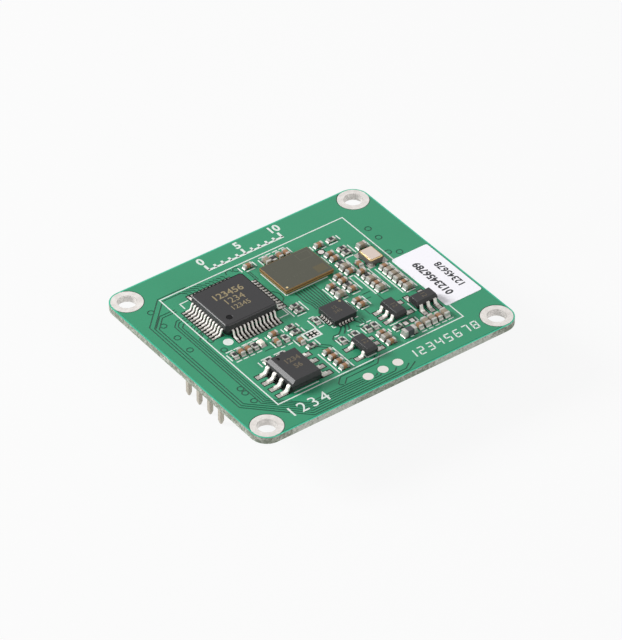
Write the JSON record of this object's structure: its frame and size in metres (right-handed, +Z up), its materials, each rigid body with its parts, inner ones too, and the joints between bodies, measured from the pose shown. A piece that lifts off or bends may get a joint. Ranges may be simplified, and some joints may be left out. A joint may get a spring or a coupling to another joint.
{
  "type": "microwave radar sensor module",
  "caption": "Small rectangular radar sensing board with a flat antenna package, controller, memory and regulators on top, corner mounting holes and two pin headers underneath",
  "frame": {"origin": "centre of the four-hole mounting pattern, on the board's underside", "axes": "+Z up through the component side, +X along the board's long side towards the longer pin header, +Y along the short side towards the radar package's edge"},
  "size_m": [0.035, 0.03, 0.0085],
  "materials": {
    "solder_mask": "satin green solder mask over woven laminate",
    "tinned_copper": "tinned copper, slightly uneven",
    "mould_compound": "matte dark grey moulding compound",
    "tin_leads": "matte tin plating",
    "solder": "reflowed solder",
    "radar_laminate": "olive-brown laminate with gold-brown edges",
    "dark_ceramic": "matte dark grey ceramic",
    "gold_ring": "gold-plated seal ring",
    "crystal_lid": "satin plated lid",
    "ferrite": "dark grey ferrite",
    "chip_terminals": "tin-plated ends",
    "led_carrier": "white laminate carrier",
    "led_lens": "milky cream resin",
    "header_plastic": "black moulded plastic",
    "header_pins": "tin-plated brass pins",
    "label_paper": "smooth white label",
    "brown_ceramic": "brown fired ceramic",
    "beige_ceramic": "grey-beige fired ceramic",
    "white_ceramic": "white alumina",
    "resistor_film": "dark protective glaze"
  },
  "bodies": {
    "root": {"circuit_board": "solder_mask", "controller_body": "mould_compound", "controller_leads": "tin_leads", "controller_side_chip_terminals": "chip_terminals", "controller_side_resistor_bases": "white_ceramic", "controller_side_resistor_films": "resistor_film", "controller_side_small_capacitors": "brown_ceramic", "crystal_base": "dark_ceramic", "crystal_lid": "crystal_lid", "crystal_seal_ring": "gold_ring", "crystal_terminals": "tinned_copper", "ferrite_bead": "ferrite", "ferrite_terminals": "chip_terminals", "label": "label_paper", "left_header_body": "header_plastic", "left_header_pins": "header_pins", "memory_body": "mould_compound", "memory_leads": "tin_leads", "mounting_hole_plating": "tinned_copper", "package_lands": "tinned_copper", "power_chip_body": "mould_compound", "power_chip_ground_pad": "tin_leads", "power_chip_terminals": "chip_terminals", "radar_antenna_layer": "radar_laminate", "radar_core": "radar_laminate", "radar_side_chip_terminals": "chip_terminals", "radar_side_large_capacitors": "beige_ceramic", "radar_side_resistor_bases": "white_ceramic", "radar_side_resistor_films": "resistor_film", "radar_side_small_capacitors": "brown_ceramic", "radar_solder_balls": "solder", "regulator_a_body": "mould_compound", "regulator_a_leads": "tin_leads", "regulator_b_body": "mould_compound", "regulator_b_leads": "tin_leads", "regulator_c_body": "mould_compound", "regulator_c_leads": "tin_leads", "right_header_body": "header_plastic", "right_header_pins": "header_pins", "status_led_base": "led_carrier", "status_led_lens": "led_lens", "status_led_terminals": "chip_terminals", "supply_side_chip_terminals": "chip_terminals", "supply_side_large_capacitors": "beige_ceramic", "supply_side_resistor_bases": "white_ceramic", "supply_side_resistor_films": "resistor_film", "supply_side_small_capacitors": "brown_ceramic", "test_lands": "tinned_copper"}
  },
  "joints": []
}
